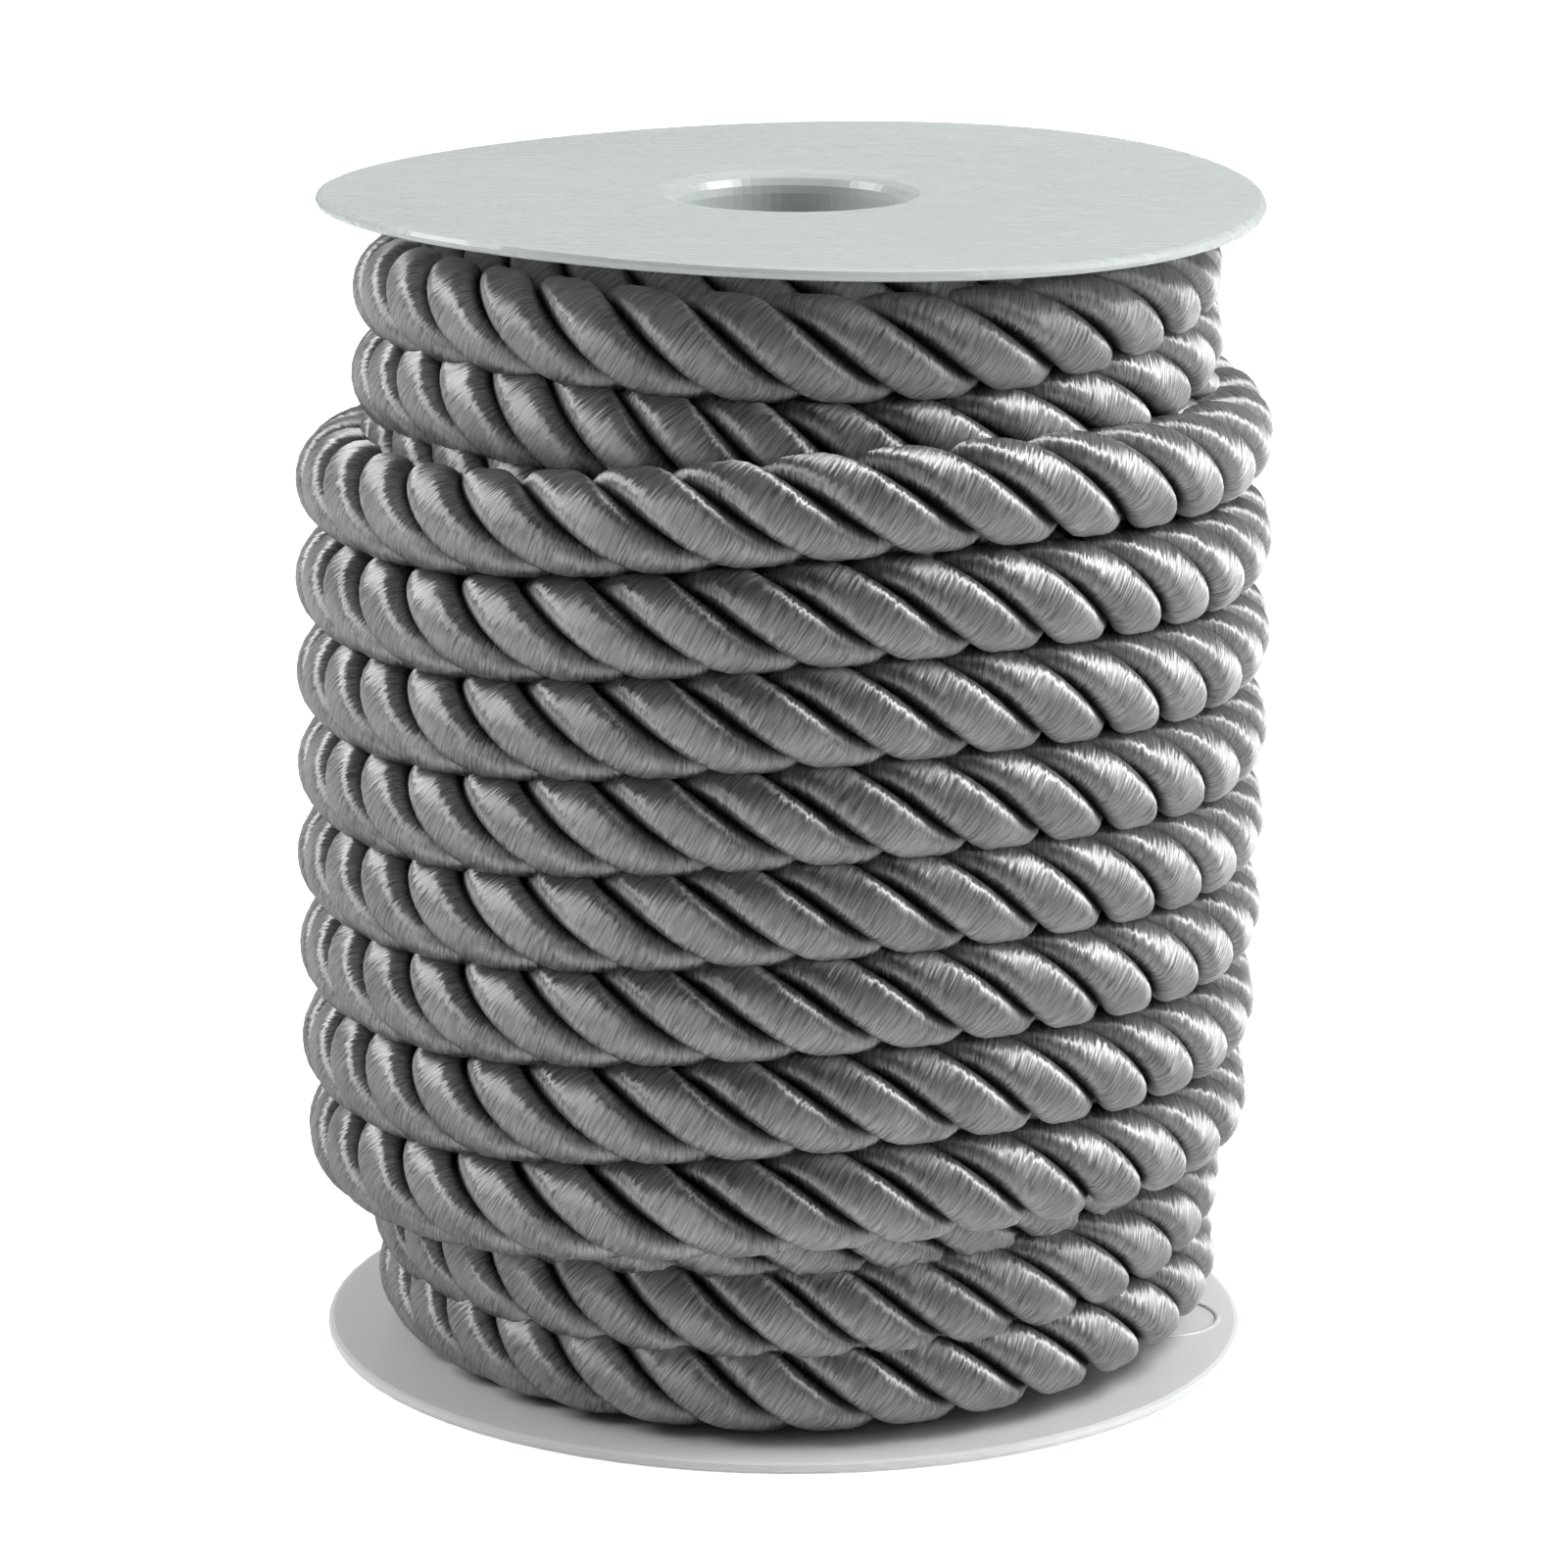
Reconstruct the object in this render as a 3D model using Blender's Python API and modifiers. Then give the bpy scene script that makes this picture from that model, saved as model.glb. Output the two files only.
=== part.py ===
"""Satin twisted cord wound on a plastic spool. Metres, +Z up.

The spool stands on its lower flange, with its axis on Z and the front of the
winding towards -Y. Angles round the axis are counted from the front, positive
towards +X, so a right-handed winding climbs as its angle grows.
"""

import math

import bmesh
import bpy

MM = 0.001

# The spool: two flanges whose collars sit in the ends of a tube.
SPOOL_HEIGHT = 90.0 * MM
FLANGE_RADIUS = 36.0 * MM
FLANGE_THICKNESS = 0.9 * MM
BORE_RADIUS = 8.8 * MM
COLLAR_WALL = 0.9 * MM
COLLAR_DEPTH = 12.0 * MM
LIP_RADIUS = 1.6 * MM
TUBE_WALL = 1.0 * MM
FIT_GAP = 0.3 * MM
TURNED_STEPS = 72
LIP_STEPS = 4
RIM_STEPS = 4

# The upper flange's rim is slightly bent: two high places and two low ones.
WARP_HEIGHT = 0.6 * MM
WARP_START_RADIUS = 18.0 * MM
WARP_HIGH_ANGLE = math.radians(-42)

# The cord: three plies, laid with a right-handed twist.
CORD_RADIUS = 3.95 * MM
PLY_GROOVE_RADIUS = 2.65 * MM
LOBES_PER_TURN = 34
PLIES = 3
FACE_ROWS = 4
SHALLOWEST_GROOVE = 0.25
SKIRT_INSET = 0.6 * MM
SHARP_EDGE = math.radians(60)
LOWEST_CENTRE = 5.1 * MM
HIGHEST_CENTRE = 84.3 * MM

# One row for each turn, from the bottom up, all in millimetres: the height of
# its centreline at the sides, how much it is lifted across the front, its
# centreline radius, and how far it sits towards +X. The first and last rows
# only shape the ends of the turns beside them.
TURNS = (
    # height, front_lift, radius, shift
    (-2.3, 0.0, 29.0, 1.0),
    (5.1, 0.0, 29.0, 1.0),
    (11.4, -0.7, 29.3, 0.9),
    (18.2, 2.3, 32.8, -0.6),
    (25.7, 2.4, 33.2, -0.6),
    (33.2, 2.4, 33.4, -0.5),
    (40.4, 2.4, 33.5, -0.5),
    (47.5, 2.4, 33.5, -0.4),
    (54.8, 2.4, 33.5, -0.4),
    (62.2, 2.4, 33.5, -0.4),
    (70.0, 2.4, 33.4, -0.4),
    (78.0, -2.7, 29.3, -0.2),
    (84.3, -1.3, 29.1, -0.2),
    (92.0, 0.0, 29.1, 0.0),
)
FIRST_TURN = -0.5
TURN_COUNT = 12
LIFT_ANGLE = math.radians(15)
LIFT_HALF_WIDTH = math.radians(75)
CHANGE_START = 0.25
CHANGE_END = 0.75
TURN_ROUNDING = 1e-6

TAU = 2 * math.pi


def finish(name, colour, roughness):
    material = bpy.data.materials.new(name)
    material.use_nodes = True
    shader = material.node_tree.nodes["Principled BSDF"]
    shader.inputs["Base Color"].default_value = colour
    shader.inputs["Roughness"].default_value = roughness
    shader.inputs["Metallic"].default_value = 0.0
    return material


def new_object(name, mesh, material, collection):
    obj = bpy.data.objects.new(name, mesh)
    mesh.materials.append(material)
    collection.objects.link(obj)
    return obj


def arc(centre_x, centre_z, radius, start, end, steps):
    """Points on an arc of a profile, with both of its ends."""
    points = []
    for i in range(steps + 1):
        angle = start + (end - start) * i / steps
        points.append((centre_x + radius * math.cos(angle), centre_z + radius * math.sin(angle)))
    return points


def turned(name, profile, material, collection):
    """A closed profile at +X, outer side downwards, turned about Z."""
    mesh = bpy.data.meshes.new(name)
    mesh.from_pydata(
        [(x, 0.0, z) for x, z in profile],
        [(i, (i + 1) % len(profile)) for i in range(len(profile))],
        [],
    )
    obj = new_object(name, mesh, material, collection)
    screw = obj.modifiers.new("turn", "SCREW")
    screw.axis = "Z"
    screw.angle = TAU
    screw.steps = TURNED_STEPS
    screw.render_steps = TURNED_STEPS
    screw.use_merge_vertices = True
    screw.merge_threshold = 0.00001
    screw.use_smooth_shade = True
    return obj


def flange_profile():
    """Half section of a flange with its face at z 0 and its collar hanging below."""
    rim = FLANGE_THICKNESS / 2
    collar = BORE_RADIUS + COLLAR_WALL
    profile = arc(FLANGE_RADIUS - rim, -rim, rim, math.pi / 2, -math.pi / 2, RIM_STEPS)
    profile.append((collar, -FLANGE_THICKNESS))
    profile.append((collar, -COLLAR_DEPTH))
    profile.append((BORE_RADIUS, -COLLAR_DEPTH))
    lip_centre = BORE_RADIUS + LIP_RADIUS
    profile += arc(lip_centre, -LIP_RADIUS, LIP_RADIUS, math.pi, math.pi / 2, LIP_STEPS)
    profile.append((WARP_START_RADIUS, 0.0))
    profile.append(((WARP_START_RADIUS + FLANGE_RADIUS) / 2, 0.0))
    return profile


def make_lower_flange(collection):
    """The flange turned over, so that its face is the spool's foot."""
    profile = [(x, -z) for x, z in reversed(flange_profile())]
    material = finish("lower_flange_plastic", (0.86, 0.88, 0.87, 1), 0.35)
    return turned("lower_flange", profile, material, collection)


def rim_warp(x, y):
    """How far the upper flange's rim is bent up or down at a place."""
    reach = (math.hypot(x, y) - WARP_START_RADIUS) / (FLANGE_RADIUS - WARP_START_RADIUS)
    angle = math.atan2(x, -y)
    return WARP_HEIGHT * max(reach, 0.0) ** 2 * math.cos(2 * (angle - WARP_HIGH_ANGLE))


def make_upper_flange(collection):
    profile = [(x, z + SPOOL_HEIGHT) for x, z in flange_profile()]
    material = finish("upper_flange_plastic", (0.78, 0.82, 0.80, 1), 0.3)
    obj = turned("upper_flange", profile, material, collection)
    bpy.context.view_layer.update()
    graph = bpy.context.evaluated_depsgraph_get()
    mesh = bpy.data.meshes.new_from_object(obj.evaluated_get(graph))
    obj.modifiers.clear()
    obj.data = mesh
    for vertex in mesh.vertices:
        vertex.co.z += rim_warp(vertex.co.x, vertex.co.y)
    return obj


def make_core_tube(collection):
    inner = BORE_RADIUS + COLLAR_WALL + FIT_GAP
    outer = inner + TUBE_WALL
    low = FLANGE_THICKNESS + FIT_GAP
    high = SPOOL_HEIGHT - low
    profile = [(outer, high), (outer, low), (inner, low), (inner, high)]
    material = finish("core_tube_plastic", (0.8, 0.83, 0.82, 1), 0.4)
    return turned("core_tube", profile, material, collection)


def eased(value):
    return value * value * (3 - 2 * value)


def turn_values(turn):
    """Height, front lift, radius and shift of the winding, in metres.

    Turn 0 is the first real row of the table, and a whole number is a turn's
    front. Rows change into each other across the back of the winding.
    """
    row = math.floor(turn)
    part = turn - row
    change = eased(min(max((part - CHANGE_START) / (CHANGE_END - CHANGE_START), 0.0), 1.0))
    last = len(TURNS) - 1
    below = TURNS[min(max(row + 1, 0), last)]
    above = TURNS[min(max(row + 2, 0), last)]
    climb = [part, change, change, change]
    if below is TURNS[0] or above is TURNS[1] or above is TURNS[-1]:
        climb[0] = change
    return [(a + (b - a) * share) * MM for a, b, share in zip(below, above, climb)]


def lift_share(angle):
    """How much of a turn's front lift applies at an angle from the front."""
    away = (angle - LIFT_ANGLE + math.pi) % TAU - math.pi
    return (1 + math.cos(math.pi * min(abs(away) / LIFT_HALF_WIDTH, 1.0))) / 2


def winding_centre(angle):
    """Radius from the axis and height of the cord's centreline."""
    turn = angle / TAU
    height, lift, radius, shift = turn_values(turn)
    height += lift * lift_share(angle)
    if turn >= FIRST_TURN - TURN_ROUNDING:
        height = max(height, LOWEST_CENTRE)
    if turn <= FIRST_TURN + TURN_COUNT + TURN_ROUNDING:
        height = min(height, HIGHEST_CENTRE)
    return radius + shift * math.sin(angle), height


def groove_between(angle):
    """Where the turn at this angle meets the outer face of the turn below it."""
    low_r, low_z = winding_centre(angle - TAU)
    high_r, high_z = winding_centre(angle)
    step_r = high_r - low_r
    step_z = high_z - low_z
    apart = math.hypot(step_r, step_z)
    cord = (CORD_RADIUS + PLY_GROOVE_RADIUS) / 2
    out = math.sqrt(max(cord**2 - (apart / 2) ** 2, (SHALLOWEST_GROOVE * cord) ** 2))
    return (
        (low_r + high_r) / 2 + out * step_z / apart,
        (low_z + high_z) / 2 - out * step_r / apart,
    )


def place(radius, height, angle):
    return (radius * math.sin(angle), -radius * math.cos(angle), height)


def lobe_point(centre_angle, cord, share):
    """A point of the cord's outer face, from the groove below it (0) to the one above (1)."""
    centre_r, centre_z = winding_centre(centre_angle)
    low_r, low_z = groove_between(centre_angle)
    high_r, high_z = groove_between(centre_angle + TAU)
    low = math.atan2(low_z - centre_z, low_r - centre_r)
    high = math.atan2(high_z - centre_z, high_r - centre_r)
    around = low + (high - low) * share
    return centre_r + cord * math.cos(around), centre_z + cord * math.sin(around)


def wound_skin(mesh_data):
    """The winding's outer skin, as a strip of faces that follows the cord.

    Its columns lean the way the plies lean, and are in turn on a lobe's crest
    and between two lobes. A column's top is the foot of the column that lies
    one turn further on. It gives the loops of points round its two open ends.
    """
    step = TAU / (2 * LOBES_PER_TURN)
    columns_apart = round((TAU - TAU / 2 * PLIES / LOBES_PER_TURN) / step)
    lean = (TAU - columns_apart * step) / 2
    columns = TURN_COUNT * 2 * LOBES_PER_TURN
    start = FIRST_TURN * TAU

    feet = []
    for column in range(columns + columns_apart + 1):
        angle = start + column * step + lean
        feet.append(mesh_data.verts.new(place(*groove_between(angle), angle)))

    points = []
    for column in range(columns + 1):
        cord = CORD_RADIUS if column % 2 == 0 else PLY_GROOVE_RADIUS
        points.append([feet[column]])
        for row in range(1, FACE_ROWS):
            share = row / FACE_ROWS
            angle = start + column * step + lean * (1 - 2 * share)
            point = place(*lobe_point(angle, cord, share), angle)
            points[column].append(mesh_data.verts.new(point))
        points[column].append(feet[column + columns_apart])

    for left, right in zip(points, points[1:]):
        for row in range(FACE_ROWS):
            mesh_data.faces.new((left[row], right[row], right[row + 1], left[row + 1]))

    bottom = feet[: columns_apart + 1] + points[0][-2:0:-1]
    top = feet[columns:] + points[-1][-2:0:-1]
    return bottom, top


def level_ring(mesh_data, loop, height, inset=0.0, radius=None):
    """New points level with each other, below or above those of a loop."""
    ring = []
    for vertex in loop:
        reach = math.hypot(vertex.co.x, vertex.co.y)
        share = (reach - inset if radius is None else radius) / reach
        ring.append(mesh_data.verts.new((vertex.co.x * share, vertex.co.y * share, height)))
    return ring


def bridge(mesh_data, rings):
    """Faces between each ring and the next, all of like count."""
    for first, second in zip(rings, rings[1:]):
        for i in range(len(first)):
            j = (i + 1) % len(first)
            mesh_data.faces.new((first[i], first[j], second[j], second[i]))


def make_wound_cord(collection):
    """One solid: the skin of turns and lobes, flat ends, and a bore round the tube."""
    bore = BORE_RADIUS + COLLAR_WALL + TUBE_WALL + 2 * FIT_GAP
    floor = FLANGE_THICKNESS + FIT_GAP
    ceiling = SPOOL_HEIGHT - FLANGE_THICKNESS - 2 * FIT_GAP

    mesh_data = bmesh.new()
    bottom_loop, top_loop = wound_skin(mesh_data)
    bottom_edge = level_ring(mesh_data, bottom_loop, floor, inset=SKIRT_INSET)
    bottom_bore = level_ring(mesh_data, bottom_loop, floor, radius=bore)
    top_edge = level_ring(mesh_data, top_loop, ceiling, inset=SKIRT_INSET)
    top_bore = level_ring(mesh_data, top_loop, ceiling, radius=bore)
    bridge(mesh_data, (bottom_edge, bottom_loop))
    bridge(mesh_data, (top_loop, top_edge, top_bore, bottom_bore, bottom_edge))

    mesh = bpy.data.meshes.new("wound_cord")
    mesh_data.to_mesh(mesh)
    mesh_data.free()
    mesh.shade_smooth()
    mesh.set_sharp_from_angle(angle=SHARP_EDGE)
    material = finish("satin_cord", (0.22, 0.22, 0.22, 1), 0.4)
    return new_object("wound_cord", mesh, material, collection)


def main():
    for obj in list(bpy.data.objects):
        bpy.data.objects.remove(obj, do_unlink=True)
    collection = bpy.data.collections.new("cord_spool")
    bpy.context.scene.collection.children.link(collection)
    make_lower_flange(collection)
    make_core_tube(collection)
    make_upper_flange(collection)
    make_wound_cord(collection)


main()
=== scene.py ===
"""Satin twisted cord on a plastic spool: its visible turns, finishes, lights and camera.

Metres, +Z up, with the spool's axis on Z and the front of the winding towards
-Y. Angles round the axis are counted from the front, positive towards +X.
"""

import math

import bmesh
import bpy
from mathutils import Matrix, Vector


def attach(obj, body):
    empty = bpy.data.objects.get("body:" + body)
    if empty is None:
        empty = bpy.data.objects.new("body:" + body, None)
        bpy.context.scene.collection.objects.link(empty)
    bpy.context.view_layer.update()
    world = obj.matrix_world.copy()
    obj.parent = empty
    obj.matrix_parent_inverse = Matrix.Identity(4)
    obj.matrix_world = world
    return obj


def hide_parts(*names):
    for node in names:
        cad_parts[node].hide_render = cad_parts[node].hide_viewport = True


bl_info = {
    "name": "Cord Spool Dressing",
    "version": (1, 0, 0),
    "blender": (4, 5, 0),
    "location": "3D View > Sidebar > Cord Spool",
    "description": "Lays the twisted satin cord on the spool and gives every piece its finish",
    "category": "Object",
}

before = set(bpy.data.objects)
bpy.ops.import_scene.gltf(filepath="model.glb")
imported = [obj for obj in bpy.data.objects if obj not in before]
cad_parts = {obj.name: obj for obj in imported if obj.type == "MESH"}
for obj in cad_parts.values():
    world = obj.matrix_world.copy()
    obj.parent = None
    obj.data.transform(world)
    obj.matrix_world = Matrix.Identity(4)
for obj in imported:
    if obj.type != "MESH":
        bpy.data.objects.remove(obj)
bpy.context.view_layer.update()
MM = 0.001
TAU = 2 * math.pi

# The outer winding from the bottom up, one row for each turn, in millimetres:
# the height of the cord's centre at the sides, how much it is lifted across
# the front, its distance from the axis, how far it sits towards +X, and how
# many ply crests have passed the front by then. The first row is turn -1.
OUTER_TURNS = (
    # height, front_lift, radius, shift, crests
    (5.1, 0.0, 29.0, 1.0, -30.0),
    (5.1, 0.0, 29.0, 1.0, 0.0),
    (11.4, -0.7, 29.3, 0.9, 30.0),
    (18.2, 2.3, 32.8, -0.6, 62.0),
    (25.7, 2.4, 33.2, -0.6, 96.0),
    (33.2, 2.4, 33.4, -0.5, 130.0),
    (40.4, 2.4, 33.5, -0.5, 164.0),
    (47.5, 2.4, 33.5, -0.4, 198.0),
    (54.8, 2.4, 33.5, -0.4, 232.0),
    (62.2, 2.4, 33.5, -0.4, 266.0),
    (70.0, 2.4, 33.4, -0.4, 300.0),
    (78.0, -2.7, 29.3, -0.2, 332.0),
    (84.3, -1.3, 29.1, -0.2, 362.0),
    (84.9, 0.0, 25.0, 0.0, 390.0),
    (84.9, 0.0, 24.0, 0.0, 415.0),
)
# The layer below, of which little shows between the outer turns.
UNDER_TURNS = (
    # height, front_lift, radius, shift, crests
    (9.5, 0.0, 24.0, 0.5, -27.0),
    (16.8, 0.0, 28.8, 0.0, 0.0),
    (24.8, 0.0, 28.8, 0.0, 30.0),
    (32.7, 0.0, 28.8, 0.0, 60.0),
    (40.6, 0.0, 28.8, 0.0, 90.0),
    (48.5, 0.0, 28.8, 0.0, 120.0),
    (56.4, 0.0, 28.8, 0.0, 150.0),
    (64.5, 0.0, 28.8, 0.0, 180.0),
    (73.0, -4.5, 29.0, 0.0, 210.0),
    (80.5, 0.0, 24.0, 0.0, 235.0),
)
# The turns at which each layer starts and ends. Over the first and the last
# TUCK_TURNS the cord dives TUCK_DEPTH under its neighbours.
OUTER_SPAN = (-0.85, 12.75)
UNDER_SPAN = (-1.0, 8.0)
TUCK_DEPTH = 8.0 * MM
TUCK_TURNS = 0.4
# From row to row the radius, shift and lift change behind the spool.
CHANGE_START = 0.25
CHANGE_END = 0.75
LIFT_ANGLE = math.radians(15)
LIFT_HALF_WIDTH = math.radians(75)
# Half the stretch of a turn that gives a path its direction.
FRAME_STEP = 0.0005
# How finely each layer's plies are meshed, along and around.
OUTER_STEPS, OUTER_SIDES = 3600, 24
UNDER_STEPS, UNDER_SIDES = 1500, 12
# Points of one mesh nearer than this are one point.
WELD = 0.001 * MM

# A ply's centre and its two half widths, as shares of the cord's radius.
PLIES = 3
PLY_OFFSET = 0.54
PLY_RADIAL = 0.46
PLY_ACROSS = 0.50
PLY_FULLNESS = 2.8

# Painted shade: how far round a ply its colour darkens towards the grooves beside it, as shares of its girth.
GROOVE_SHADE_START = 0.24
GROOVE_SHADE_END = 0.28

# The camera stands in front, on the spool's axis.
CAMERA_PLACE = (0.0, -484.5 * MM, 165.4 * MM)
CAMERA_DOWN = 0.2463
CAMERA_ROLL = 0.0062
CAMERA_LENS = 147.9
CAMERA_SHIFT = -0.0021

# How bright the studio is behind the camera and behind the spool, and the
# floor to the camera and to the object.
FRONT_LIGHT = 0.02
BACK_LIGHT = 0.38
FLOOR_SEEN = 0.92
FLOOR_LIGHT = 0.05
FLOOR_HALF_SIZE = 4.0
FLOOR_PALE = (0.94, 0.94, 0.94, 1)
# What the soft boxes face: the middle of the winding.
LIGHT_TARGET = (0.0, 0.0, 0.045)

# Soft boxes, one row each.
SOFT_BOXES = (
    # name, angle round the object, elevation, distance, width, height, power
    ("left_box", -93.0, 36.0, 0.60, 0.26, 0.34, 2.6),
    ("right_box", 90.0, 49.0, 0.60, 0.24, 0.30, 3.2),
    ("right_wide_box", 78.0, 20.0, 0.70, 0.50, 0.60, 2.1),
    ("top_box", 180.0, 68.0, 0.60, 0.40, 0.24, 0.2),
    ("front_fill", 8.0, 20.0, 0.90, 0.50, 0.50, 0.04),
)


class CordSpoolSettings(bpy.types.PropertyGroup):
    cord_radius: bpy.props.FloatProperty(
        name="Cord Radius",
        description="From the middle of the cord to the crest of a ply",
        default=3.95 * MM,
        min=1.0 * MM,
        max=4.5 * MM,
        unit="LENGTH",
    )
    thread_pitch: bpy.props.FloatProperty(
        name="Thread Pitch",
        description="Distance from one satin thread to the next, along a ply",
        default=0.20 * MM,
        min=0.1 * MM,
        max=1.0 * MM,
        unit="LENGTH",
    )
    cord_light: bpy.props.FloatVectorProperty(
        name="Cord Light Thread",
        description="Colour of the cord's lightest threads",
        default=(0.53, 0.53, 0.535),
        size=3,
        min=0.0,
        max=1.0,
        subtype="COLOR",
    )
    cord_dark: bpy.props.FloatVectorProperty(
        name="Cord Dark Thread",
        description="Colour of the cord's darkest threads",
        default=(0.12, 0.12, 0.123),
        size=3,
        min=0.0,
        max=1.0,
        subtype="COLOR",
    )
    # Painted shade: a darker grey-green copy of the spool's milky plastic, standing in for the weaker light
    # on the upper flange; the tube uses it too.
    shaded_upper_plastic: bpy.props.FloatVectorProperty(
        name="Upper Flange Plastic",
        description="Colour of the upper flange and its collar",
        default=(0.50, 0.54, 0.525),
        size=3,
        min=0.0,
        max=1.0,
        subtype="COLOR",
    )
    lower_plastic: bpy.props.FloatVectorProperty(
        name="Lower Flange Plastic",
        description="Colour of the lower flange, its collar and the moulded ring",
        default=(0.72, 0.74, 0.73),
        size=3,
        min=0.0,
        max=1.0,
        subtype="COLOR",
    )
    ring_radius: bpy.props.FloatProperty(
        name="Moulded Ring Radius",
        description="Middle of the thin raised ring on the lower flange",
        default=4.9 * MM,
        min=2.0 * MM,
        max=6.0 * MM,
        unit="LENGTH",
    )
    floor_colour: bpy.props.FloatVectorProperty(
        name="Floor",
        description="Colour of the plain studio floor",
        default=(0.92, 0.92, 0.92),
        size=3,
        min=0.0,
        max=1.0,
        subtype="COLOR",
    )


def eased(value):
    value = min(max(value, 0.0), 1.0)
    return value * value * (3 - 2 * value)


def row_between(table, turn):
    """The table's columns at a turn, in millimetres; height and crests climb evenly."""
    row = min(max(math.floor(turn), -1), len(table) - 3)
    part = turn - row
    change = eased((part - CHANGE_START) / (CHANGE_END - CHANGE_START))
    shares = (part, change, change, change, part)
    below = table[row + 1]
    above = table[row + 2]
    return [a + (b - a) * share for a, b, share in zip(below, above, shares)]


def lift_share(angle):
    """How much of a turn's front lift applies at an angle from the front."""
    away = (angle - LIFT_ANGLE + math.pi) % TAU - math.pi
    return (1 + math.cos(math.pi * min(abs(away) / LIFT_HALF_WIDTH, 1.0))) / 2


def cord_place(table, span, turn):
    """The cord's centre at a turn."""
    height, lift, radius, shift, crests = row_between(table, turn)
    angle = turn * TAU
    reach = (radius + shift * math.sin(angle)) * MM
    starting = eased(1 - (turn - span[0]) / TUCK_TURNS)
    ending = eased(1 - (span[1] - turn) / TUCK_TURNS)
    reach -= TUCK_DEPTH * (starting + ending)
    level = (height + lift * lift_share(angle)) * MM
    return Vector((reach * math.sin(angle), -reach * math.cos(angle), level))


def ply_centre(table, span, turn, ply, offset):
    """A ply's centre at a turn, and the way out from the cord's centre to it."""
    centre = cord_place(table, span, turn)
    ahead = cord_place(table, span, turn + FRAME_STEP) - cord_place(table, span, turn - FRAME_STEP)
    ahead.normalize()
    out = Vector((centre.x, centre.y, 0.0)).normalized()
    out = (out - ahead * out.dot(ahead)).normalized()
    up = out.cross(ahead)
    crests = row_between(table, turn)[-1]
    twist = TAU * (ply - crests) / PLIES
    way = out * math.cos(twist) + up * math.sin(twist)
    return centre + way * offset, way


def full(value):
    """Moves a point of a round section out to the shoulders of a fuller one."""
    return math.copysign(abs(value) ** (2 / PLY_FULLNESS), value)


def ply_tube(name, table, span, ply, steps, sides, cord_radius):
    """One ply as a tube: a flat grid rolled up round the ply's path, and closed.

    The UV map holds each point's place on it in millimetres: along the ply,
    and round it from the side that faces out.
    """
    offset = PLY_OFFSET * cord_radius
    high = PLY_RADIAL * cord_radius
    wide = PLY_ACROSS * cord_radius
    rings = []
    length = 0.0
    before = None
    for i in range(steps + 1):
        turn = span[0] + (span[1] - span[0]) * i / steps
        centre, way = ply_centre(table, span, turn, ply, offset)
        ahead = (
            ply_centre(table, span, turn + FRAME_STEP, ply, offset)[0]
            - ply_centre(table, span, turn - FRAME_STEP, ply, offset)[0]
        ).normalized()
        way = (way - ahead * way.dot(ahead)).normalized()
        side = ahead.cross(way)
        if before is not None:
            length += (centre - before).length
        before = centre
        rings.append((centre, way * high, side * wide, length))

    made = bmesh.new()
    uv = made.loops.layers.uv.new("threads")
    bmesh.ops.create_grid(made, x_segments=steps, y_segments=sides, size=0.5)
    around = TAU * (high + wide) / 2
    spots = {}
    for vertex in made.verts:
        step = round((vertex.co.x + 0.5) * steps)
        share = round((vertex.co.y + 0.5) * sides) / sides
        centre, high_way, side_way, along = rings[step]
        spots[vertex] = (along / MM, (share - 0.5) * around / MM)
        turned = TAU * (share - 0.5)
        vertex.co = centre + high_way * full(math.cos(turned)) + side_way * full(math.sin(turned))
    for face in made.faces:
        face.smooth = True
        for loop in face.loops:
            loop[uv].uv = spots[loop.vert]
    rim = [vertex for vertex in made.verts if vertex.is_boundary]
    bmesh.ops.remove_doubles(made, verts=rim, dist=WELD)
    ends = [edge for edge in made.edges if edge.is_boundary]
    bmesh.ops.holes_fill(made, edges=ends, sides=0)
    bmesh.ops.recalc_face_normals(made, faces=made.faces)
    return new_piece(name, made)


def new_piece(name, made):
    mesh = bpy.data.meshes.new(name)
    made.to_mesh(mesh)
    made.free()
    piece = bpy.data.objects.new(name, mesh)
    bpy.context.scene.collection.objects.link(piece)
    return piece


def add(tree, kind, inputs=None, **values):
    """A node with its own values set, and its inputs linked or set by name."""
    node = tree.nodes.new(kind)
    for name, value in values.items():
        setattr(node, name, value)
    for name, value in (inputs or {}).items():
        if isinstance(value, bpy.types.NodeSocket):
            tree.links.new(value, node.inputs[name])
        else:
            node.inputs[name].default_value = value
    return node


def new_group(name, inputs, outputs):
    """An empty shader node group with named sockets, and its two end nodes."""
    tree = bpy.data.node_groups.new(name, "ShaderNodeTree")
    for socket, kind, value in inputs:
        made = tree.interface.new_socket(socket, in_out="INPUT", socket_type=kind)
        made.default_value = value
    for socket, kind in outputs:
        tree.interface.new_socket(socket, in_out="OUTPUT", socket_type=kind)
    return tree, add(tree, "NodeGroupInput").outputs, add(tree, "NodeGroupOutput").inputs


def stretched_noise(tree, spot, along, across, detail, turned=0.0):
    """Noise on the ply's own length and girth, both in millimetres."""
    placed = add(
        tree,
        "ShaderNodeMapping",
        {"Vector": spot, "Location": (turned, turned, 0.0), "Scale": (1 / along, 1 / across, 1.0)},
    )
    noise = add(
        tree,
        "ShaderNodeTexNoise",
        {"Vector": placed.outputs[0], "Scale": 1.0, "Detail": detail, "Roughness": 0.6},
        noise_dimensions="2D",
    )
    return noise.outputs["Fac"]


def spread(tree, value, low, high, new_low, new_high):
    node = add(
        tree,
        "ShaderNodeMapRange",
        {"Value": value, "From Min": low, "From Max": high, "To Min": new_low, "To Max": new_high},
    )
    return node.outputs["Result"]


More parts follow.
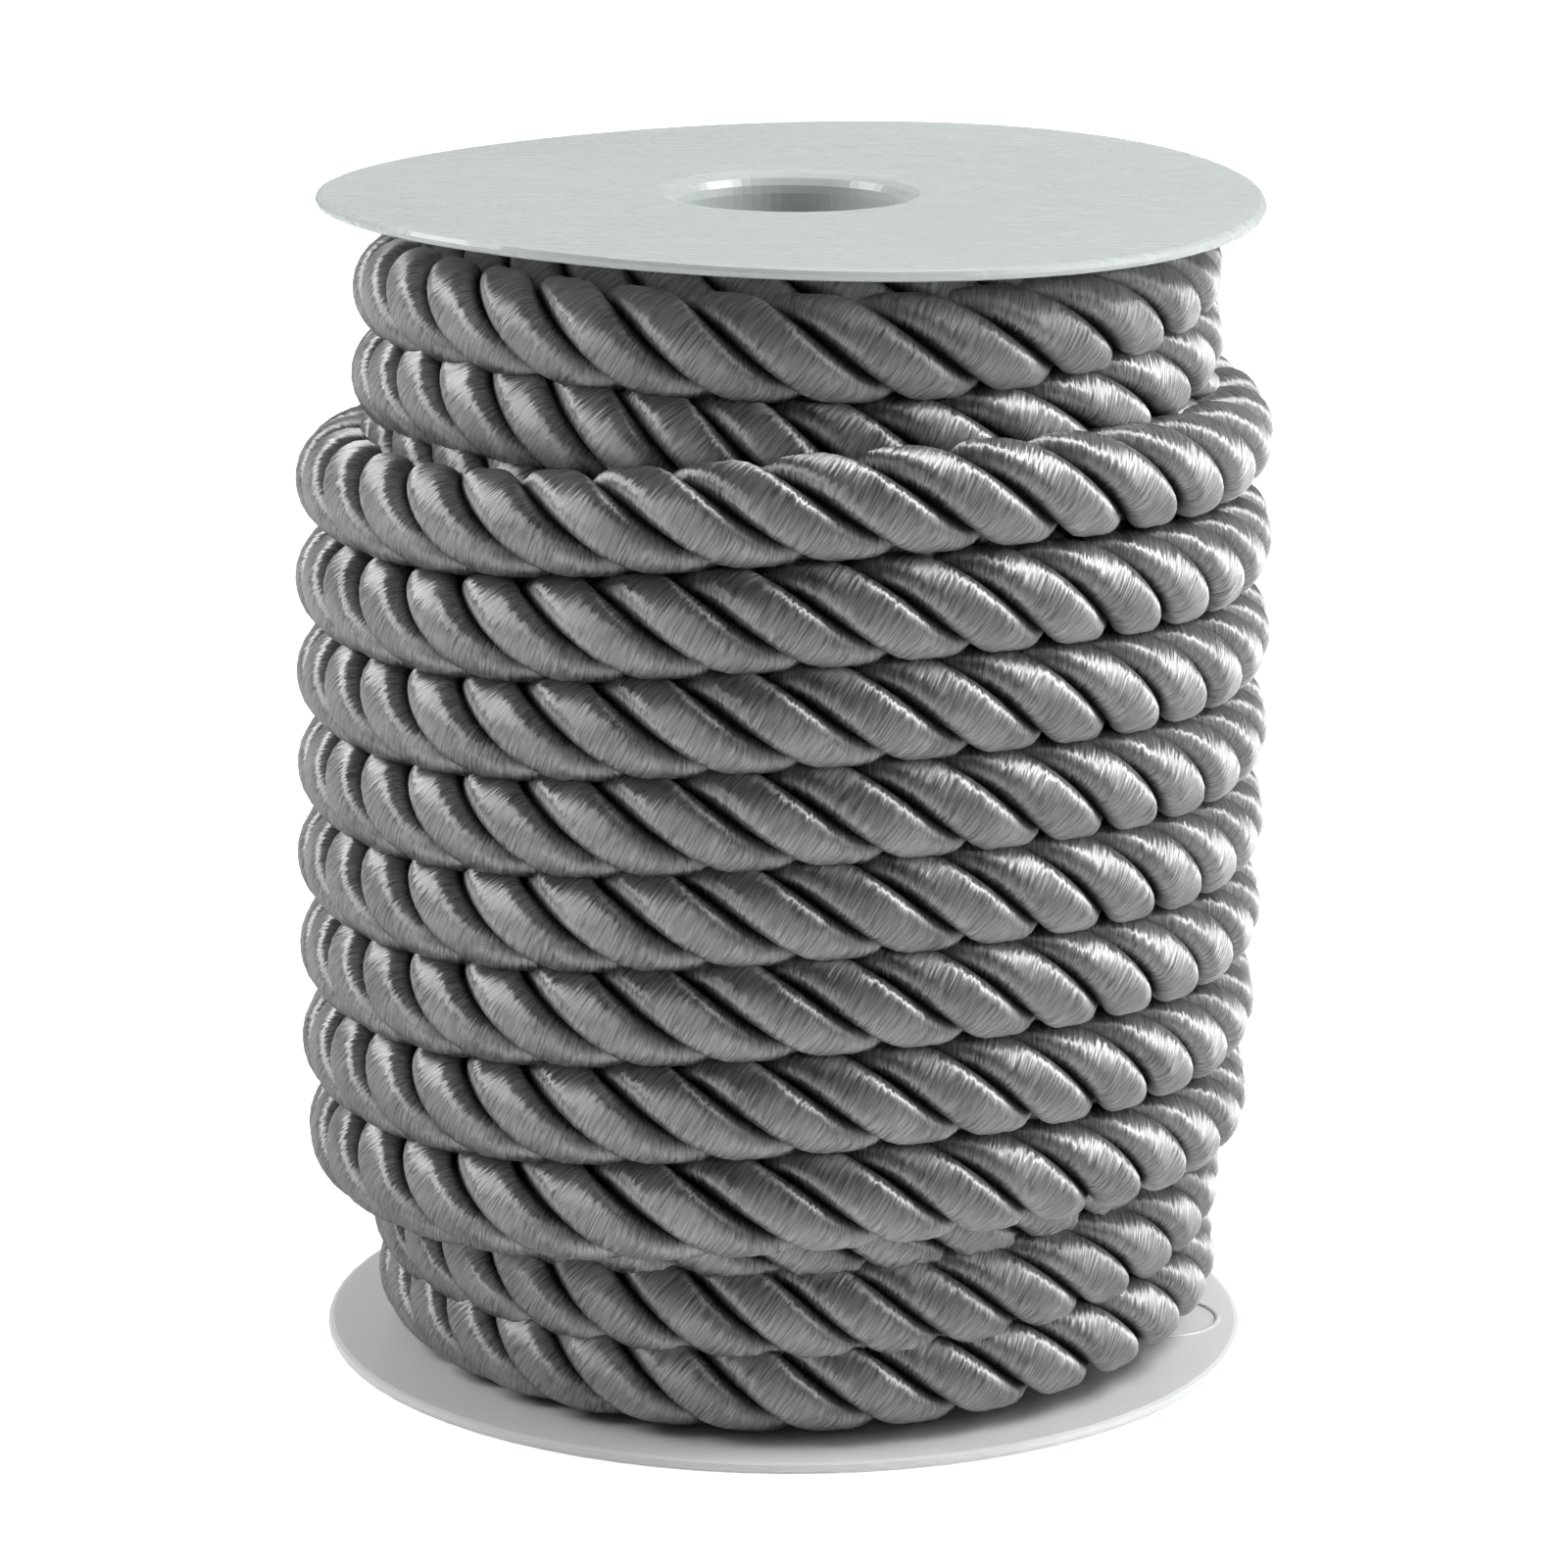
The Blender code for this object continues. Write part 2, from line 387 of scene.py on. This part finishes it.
def satin_threads_group():
    """Threads that run across a ply: their colour, gloss and the way each leans, with painted shade darkening
    the colour towards the grooves between plies.
    """
    tree, given, result = new_group(
        "satin threads with painted shade",
        (
            ("Light Thread", "NodeSocketColor", (0.4, 0.4, 0.4, 1)),
            ("Dark Thread", "NodeSocketColor", (0.1, 0.1, 0.1, 1)),
            ("Thread Pitch", "NodeSocketFloat", 0.2),
            ("Groove Shade Start", "NodeSocketFloat", 2.0),
            ("Groove Shade End", "NodeSocketFloat", 3.0),
        ),
        (
            ("Color", "NodeSocketColor"),
            ("Roughness", "NodeSocketFloat"),
            ("Normal", "NodeSocketVector"),
        ),
    )
    spot = add(tree, "ShaderNodeUVMap", uv_map="threads").outputs[0]
    parts = add(tree, "ShaderNodeSeparateXYZ", {0: spot}).outputs
    in_threads = add(
        tree, "ShaderNodeMath", {0: parts["X"], 1: given["Thread Pitch"]}, operation="DIVIDE"
    )
    threads = add(
        tree, "ShaderNodeCombineXYZ", {"X": in_threads.outputs[0], "Y": parts["Y"]}
    ).outputs[0]

    fine = stretched_noise(tree, threads, 0.5, 1.8, 2.0)
    streak = stretched_noise(tree, threads, 1.0, 3.0, 2.0, 31.0)
    lean = stretched_noise(tree, threads, 0.9, 2.2, 2.5, 57.0)
    patch = stretched_noise(tree, spot, 5.0, 4.0, 1.0, 83.0)

    both = add(tree, "ShaderNodeMath", {0: fine, 1: streak}, operation="ADD").outputs[0]
    shade = spread(tree, both, 0.7, 1.3, 0.0, 1.0)
    patched = add(tree, "ShaderNodeMath", {0: patch, 1: 0.6}, operation="MULTIPLY").outputs[0]
    shade = add(tree, "ShaderNodeMath", {0: shade, 1: patched}, operation="ADD").outputs[0]
    shade = spread(tree, shade, 0.1, 1.3, 0.0, 1.0)
    colour = add(tree, "ShaderNodeMix", {"Factor": shade}, data_type="RGBA")
    tree.links.new(given["Dark Thread"], colour.inputs[6])
    tree.links.new(given["Light Thread"], colour.inputs[7])
    # Painted shade: the thread colour darkens to 0.12 of itself on a ply's sides next to the grooves, where
    # the plies shade each other; the fine noise makes the edge of this shade ragged.
    away = add(tree, "ShaderNodeMath", {0: parts["Y"]}, operation="ABSOLUTE").outputs[0]
    ragged_shade_reach = add(tree, "ShaderNodeMath", {0: fine, 1: 0.8}, operation="MULTIPLY_ADD")
    tree.links.new(away, ragged_shade_reach.inputs[2])
    groove_shade = add(
        tree,
        "ShaderNodeMapRange",
        {"Value": ragged_shade_reach.outputs[0], "To Min": 1.0, "To Max": 0.12},
    )
    tree.links.new(given["Groove Shade Start"], groove_shade.inputs["From Min"])
    tree.links.new(given["Groove Shade End"], groove_shade.inputs["From Max"])
    groove_shaded = add(
        tree,
        "ShaderNodeVectorMath",
        {0: colour.outputs[2], 1: groove_shade.outputs["Result"]},
        operation="MULTIPLY",
    )
    tree.links.new(groove_shaded.outputs[0], result["Color"])

    tree.links.new(spread(tree, streak, 0.3, 0.7, 0.42, 0.60), result["Roughness"])

    leans = add(
        tree,
        "ShaderNodeCombineColor",
        {
            "Red": spread(tree, fine, 0.2, 0.8, 0.42, 0.58),
            "Green": spread(tree, lean, 0.2, 0.8, 0.39, 0.61),
            "Blue": 1.0,
        },
    )
    normal = add(
        tree, "ShaderNodeNormalMap", {"Color": leans.outputs[0], "Strength": 1.0}, uv_map="threads"
    )
    tree.links.new(normal.outputs[0], result["Normal"])
    return tree


def satin_material(name, light, dark, pitch, cord_radius):
    material = bpy.data.materials.new(name)
    material.use_nodes = True
    tree = material.node_tree
    shader = tree.nodes["Principled BSDF"]
    threads = add(tree, "ShaderNodeGroup")
    threads.node_tree = bpy.data.node_groups.get("satin threads with painted shade") or satin_threads_group()
    threads.inputs["Light Thread"].default_value = (*light, 1)
    threads.inputs["Dark Thread"].default_value = (*dark, 1)
    threads.inputs["Thread Pitch"].default_value = pitch / MM
    # Painted shade: how far round a ply the colour darkens towards the grooves.
    girth = TAU * cord_radius * (PLY_RADIAL + PLY_ACROSS) / 2
    threads.inputs["Groove Shade Start"].default_value = girth * GROOVE_SHADE_START / MM
    threads.inputs["Groove Shade End"].default_value = girth * GROOVE_SHADE_END / MM
    tree.links.new(threads.outputs["Color"], shader.inputs["Base Color"])
    tree.links.new(threads.outputs["Roughness"], shader.inputs["Roughness"])
    tree.links.new(threads.outputs["Normal"], shader.inputs["Normal"])
    tangent = add(tree, "ShaderNodeTangent", direction_type="UV_MAP", uv_map="threads")
    tree.links.new(tangent.outputs[0], shader.inputs["Tangent"])
    shader.inputs["Metallic"].default_value = 0.8
    shader.inputs["Anisotropic"].default_value = 1.0
    shader.inputs["Specular IOR Level"].default_value = 0.7
    return material


def moulded_plastic_group():
    """Milky moulded plastic: faint clouding, a few dark specks and uneven gloss."""
    tree, given, result = new_group(
        "moulded plastic",
        (
            ("Plastic", "NodeSocketColor", (0.8, 0.8, 0.8, 1)),
            ("Clouding", "NodeSocketFloat", 0.06),
            ("Specks", "NodeSocketFloat", 0.5),
            ("Roughness", "NodeSocketFloat", 0.3),
        ),
        (
            ("Color", "NodeSocketColor"),
            ("Roughness", "NodeSocketFloat"),
            ("Height", "NodeSocketFloat"),
        ),
    )
    spot = add(tree, "ShaderNodeTexCoord").outputs["Object"]
    cloud = add(tree, "ShaderNodeTexNoise", {"Vector": spot, "Scale": 60.0, "Detail": 3.0}).outputs["Fac"]
    fine = add(tree, "ShaderNodeTexNoise", {"Vector": spot, "Scale": 900.0, "Detail": 3.0}).outputs["Fac"]
    long_way = add(
        tree,
        "ShaderNodeMapping",
        {"Vector": spot, "Rotation": (0.0, 0.0, 0.5), "Scale": (90.0, 900.0, 90.0)},
    ).outputs[0]
    scuffs = add(tree, "ShaderNodeTexNoise", {"Vector": long_way, "Scale": 1.0, "Detail": 2.0}).outputs["Fac"]
    cells = add(tree, "ShaderNodeTexVoronoi", {"Vector": spot, "Scale": 170.0}, feature="F1").outputs
    speck = spread(tree, cells["Distance"], 0.03, 0.06, 1.0, 0.0)
    rare = add(tree, "ShaderNodeSeparateColor", {0: cells["Color"]}).outputs["Red"]
    rare = add(tree, "ShaderNodeMath", {0: rare, 1: 0.93}, operation="GREATER_THAN").outputs[0]
    speck = add(tree, "ShaderNodeMath", {0: speck, 1: rare}, operation="MULTIPLY").outputs[0]
    speck = add(tree, "ShaderNodeMath", {0: speck, 1: given["Specks"]}, operation="MULTIPLY").outputs[0]

    shade = spread(tree, cloud, 0.3, 0.7, 0.0, 1.0)
    shade = add(tree, "ShaderNodeMath", {0: shade, 1: given["Clouding"]}, operation="MULTIPLY").outputs[0]
    darker = add(tree, "ShaderNodeMath", {0: shade, 1: speck}, operation="ADD").outputs[0]
    kept = add(tree, "ShaderNodeMath", {0: 1.0, 1: darker}, operation="SUBTRACT").outputs[0]
    colour = add(tree, "ShaderNodeVectorMath", {0: given["Plastic"], 1: kept}, operation="MULTIPLY")
    tree.links.new(colour.outputs[0], result["Color"])

    gloss = spread(tree, scuffs, 0.55, 0.8, -0.02, 0.06)
    gloss = add(tree, "ShaderNodeMath", {0: gloss, 1: given["Roughness"]}, operation="ADD").outputs[0]
    tree.links.new(gloss, result["Roughness"])
    tree.links.new(fine, result["Height"])
    return tree


def plastic_material(name, colour, roughness, clouding, specks, subsurface):
    material = bpy.data.materials.new(name)
    material.use_nodes = True
    tree = material.node_tree
    shader = tree.nodes["Principled BSDF"]
    surface = add(tree, "ShaderNodeGroup")
    surface.node_tree = bpy.data.node_groups.get("moulded plastic") or moulded_plastic_group()
    surface.inputs["Plastic"].default_value = (*colour, 1)
    surface.inputs["Clouding"].default_value = clouding
    surface.inputs["Specks"].default_value = specks
    surface.inputs["Roughness"].default_value = roughness
    tree.links.new(surface.outputs["Color"], shader.inputs["Base Color"])
    tree.links.new(surface.outputs["Roughness"], shader.inputs["Roughness"])
    bump = add(
        tree,
        "ShaderNodeBump",
        {"Height": surface.outputs["Height"], "Strength": 0.08, "Distance": 0.05 * MM},
    )
    tree.links.new(bump.outputs[0], shader.inputs["Normal"])
    shader.inputs["Subsurface Weight"].default_value = subsurface
    shader.inputs["Subsurface Radius"].default_value = (1.0, 1.0, 0.95)
    shader.inputs["Subsurface Scale"].default_value = 1.5 * MM
    return material


def repaint(obj, material):
    obj.data.materials.clear()
    obj.data.materials.append(material)


def lay_plies(prefix, table, span, steps, sides, cord_radius, material):
    for ply in range(PLIES):
        piece = ply_tube(f"{prefix}_{ply + 1}", table, span, ply, steps, sides, cord_radius)
        repaint(piece, material)
        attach(piece, "root")
        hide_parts("wound_cord")


class CORDSPOOL_OT_make_camera(bpy.types.Operator):
    """Stand the camera in front of the spool, looking a little down on it"""

    bl_idname = "cord_spool.make_camera"
    bl_label = "Make Camera"

    def execute(self, context):
        data = bpy.data.cameras.new("camera")
        data.lens = CAMERA_LENS
        data.shift_x = CAMERA_SHIFT
        data.clip_start = 0.01
        data.clip_end = 10.0
        camera = bpy.data.objects.new("camera", data)
        context.scene.collection.objects.link(camera)
        camera.matrix_world = (
            Matrix.Translation(CAMERA_PLACE)
            @ Matrix.Rotation(math.pi / 2 - CAMERA_DOWN, 4, "X")
            @ Matrix.Rotation(CAMERA_ROLL, 4, "Z")
        )
        context.scene.camera = camera
        return {"FINISHED"}


class CORDSPOOL_OT_lay_outer_turns(bpy.types.Operator):
    """Wind the three plies of the cord that shows"""

    bl_idname = "cord_spool.lay_outer_turns"
    bl_label = "Lay Outer Turns"

    def execute(self, context):
        chosen = context.scene.cord_spool
        material = satin_material(
            "satin_outer", chosen.cord_light, chosen.cord_dark, chosen.thread_pitch, chosen.cord_radius
        )
        lay_plies(
            "outer_ply", OUTER_TURNS, OUTER_SPAN, OUTER_STEPS, OUTER_SIDES, chosen.cord_radius, material
        )
        return {"FINISHED"}


class CORDSPOOL_OT_lay_under_turns(bpy.types.Operator):
    """Wind the three plies of the layer below, which shows only between turns"""

    bl_idname = "cord_spool.lay_under_turns"
    bl_label = "Lay Under Turns"

    def execute(self, context):
        chosen = context.scene.cord_spool
        material = satin_material(
            "satin_under", chosen.cord_light, chosen.cord_dark, chosen.thread_pitch, chosen.cord_radius
        )
        lay_plies(
            "under_ply", UNDER_TURNS, UNDER_SPAN, UNDER_STEPS, UNDER_SIDES, chosen.cord_radius, material
        )
        return {"FINISHED"}


class CORDSPOOL_OT_mould_ring(bpy.types.Operator):
    """Raise the thin bare ring that is moulded on the lower flange"""

    bl_idname = "cord_spool.mould_ring"
    bl_label = "Mould Ring"

    centre = (29.3 * MM, -1.9 * MM)
    half_width = 0.25 * MM
    rise = 0.2 * MM
    sunk = 0.02 * MM
    flange_top = 0.9 * MM
    arc_steps = 6
    turn_steps = 72

    def execute(self, context):
        chosen = context.scene.cord_spool
        made = bmesh.new()
        arc = []
        for i in range(self.arc_steps + 1):
            turned = math.pi * i / self.arc_steps
            arc.append(
                made.verts.new(
                    (
                        chosen.ring_radius + self.half_width * math.cos(turned),
                        0.0,
                        self.rise * math.sin(turned) - self.sunk,
                    )
                )
            )
        edges = [made.edges.new((a, b)) for a, b in zip(arc, arc[1:] + arc[:1])]
        bmesh.ops.spin(
            made,
            geom=arc + edges,
            axis=(0.0, 0.0, 1.0),
            cent=(0.0, 0.0, 0.0),
            angle=TAU,
            steps=self.turn_steps,
            use_merge=True,
        )
        bmesh.ops.remove_doubles(made, verts=made.verts, dist=WELD)
        bmesh.ops.recalc_face_normals(made, faces=made.faces)
        bmesh.ops.translate(made, vec=(*self.centre, self.flange_top), verts=made.verts)
        for face in made.faces:
            face.smooth = True
        piece = new_piece("moulded_ring", made)
        repaint(piece, plastic_material("ring_plastic", chosen.lower_plastic, 0.25, 0.03, 0.0, 0.2))
        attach(piece, "root")
        return {"FINISHED"}


class CORDSPOOL_OT_finish_spool(bpy.types.Operator):
    """Give the flanges and the tube their milky plastic"""

    bl_idname = "cord_spool.finish_spool"
    bl_label = "Finish Spool"

    def execute(self, context):
        chosen = context.scene.cord_spool
        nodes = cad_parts
        # Painted shade: the upper flange and the tube take the darker, shaded copy of the plastic colour.
        upper = plastic_material("shaded_upper_plastic", chosen.shaded_upper_plastic, 0.28, 0.03, 0.35, 0.3)
        lower = plastic_material("lower_plastic", chosen.lower_plastic, 0.30, 0.03, 0.25, 0.3)
        tube = plastic_material("tube_plastic", chosen.shaded_upper_plastic, 0.4, 0.05, 0.2, 0.2)
        repaint(nodes["upper_flange"], upper)
        repaint(nodes["lower_flange"], lower)
        repaint(nodes["core_tube"], tube)
        return {"FINISHED"}


class CORDSPOOL_OT_make_stage(bpy.types.Operator):
    """Put the spool on a plain pale floor under soft studio lights"""

    bl_idname = "cord_spool.make_stage"
    bl_label = "Make Stage"

    def execute(self, context):
        chosen = context.scene.cord_spool
        made = bmesh.new()
        bmesh.ops.create_grid(made, x_segments=1, y_segments=1, size=FLOOR_HALF_SIZE)
        floor = new_piece("floor", made)
        material = bpy.data.materials.new("floor")
        material.use_nodes = True
        tree = material.node_tree
        shader = tree.nodes["Principled BSDF"]
        spot = add(tree, "ShaderNodeTexCoord").outputs["Object"]
        grain = add(tree, "ShaderNodeTexNoise", {"Vector": spot, "Scale": 3.0}).outputs["Fac"]
        colour = add(tree, "ShaderNodeMix", {"Factor": grain}, data_type="RGBA")
        colour.inputs[6].default_value = (*chosen.floor_colour, 1)
        colour.inputs[7].default_value = FLOOR_PALE
        tree.links.new(colour.outputs[2], shader.inputs["Base Color"])
        shader.inputs["Roughness"].default_value = 0.9
        shader.inputs["Specular IOR Level"].default_value = 0.1
        shader.inputs["Emission Color"].default_value = (1, 1, 1, 1)
        seen = add(tree, "ShaderNodeLightPath").outputs["Is Camera Ray"]
        glow = spread(tree, seen, 0.0, 1.0, FLOOR_LIGHT, FLOOR_SEEN)
        tree.links.new(glow, shader.inputs["Emission Strength"])
        repaint(floor, material)

        world = bpy.data.worlds.new("studio")
        world.use_nodes = True
        tree = world.node_tree
        tree.nodes.clear()
        way = add(tree, "ShaderNodeTexCoord").outputs["Generated"]
        depth = add(tree, "ShaderNodeSeparateXYZ", {0: way}).outputs["Y"]
        level = spread(tree, depth, -0.6, 0.8, FRONT_LIGHT, BACK_LIGHT)
        seen = add(tree, "ShaderNodeLightPath").outputs["Is Camera Ray"]
        level = add(tree, "ShaderNodeMix", {"Factor": seen, "A": level, "B": 1.0}).outputs[0]
        light = add(tree, "ShaderNodeBackground", {"Color": (1, 1, 1, 1), "Strength": level})
        add(tree, "ShaderNodeOutputWorld", {"Surface": light.outputs[0]})
        context.scene.world = world

        target = Vector(LIGHT_TARGET)
        for name, angle, elevation, distance, width, height, power in SOFT_BOXES:
            data = bpy.data.lights.new(name, "AREA")
            data.shape = "RECTANGLE"
            data.size = width
            data.size_y = height
            data.energy = power
            box = bpy.data.objects.new(name, data)
            context.scene.collection.objects.link(box)
            turned = math.radians(angle)
            raised = math.radians(elevation)
            away = Vector(
                (
                    math.sin(turned) * math.cos(raised),
                    -math.cos(turned) * math.cos(raised),
                    math.sin(raised),
                )
            )
            box.location = target + away * distance
            box.rotation_euler = away.to_track_quat("Z", "Y").to_euler()
        context.scene.view_settings.view_transform = "Standard"
        return {"FINISHED"}


OPERATORS = (
    CORDSPOOL_OT_make_camera,
    CORDSPOOL_OT_lay_outer_turns,
    CORDSPOOL_OT_lay_under_turns,
    CORDSPOOL_OT_mould_ring,
    CORDSPOOL_OT_finish_spool,
    CORDSPOOL_OT_make_stage,
)


class CORDSPOOL_PT_panel(bpy.types.Panel):
    """Sizes, colours and the steps that dress the spool"""

    bl_idname = "CORDSPOOL_PT_panel"
    bl_label = "Cord Spool"
    bl_space_type = "VIEW_3D"
    bl_region_type = "UI"
    bl_category = "Cord Spool"

    def draw(self, context):
        column = self.layout.column()
        for name in CordSpoolSettings.__annotations__:
            column.prop(context.scene.cord_spool, name)
        for operator in OPERATORS:
            column.operator(operator.bl_idname)


CLASSES = (CordSpoolSettings, *OPERATORS, CORDSPOOL_PT_panel)


def register():
    for made in CLASSES:
        bpy.utils.register_class(made)
    bpy.types.Scene.cord_spool = bpy.props.PointerProperty(type=CordSpoolSettings)


def unregister():
    del bpy.types.Scene.cord_spool
    for made in reversed(CLASSES):
        bpy.utils.unregister_class(made)


def main():
    register()
    bpy.ops.cord_spool.make_camera()
    bpy.ops.cord_spool.lay_outer_turns()
    bpy.ops.cord_spool.lay_under_turns()
    bpy.ops.cord_spool.mould_ring()
    bpy.ops.cord_spool.finish_spool()
    bpy.ops.cord_spool.make_stage()


if __name__ == "__main__":
    main()
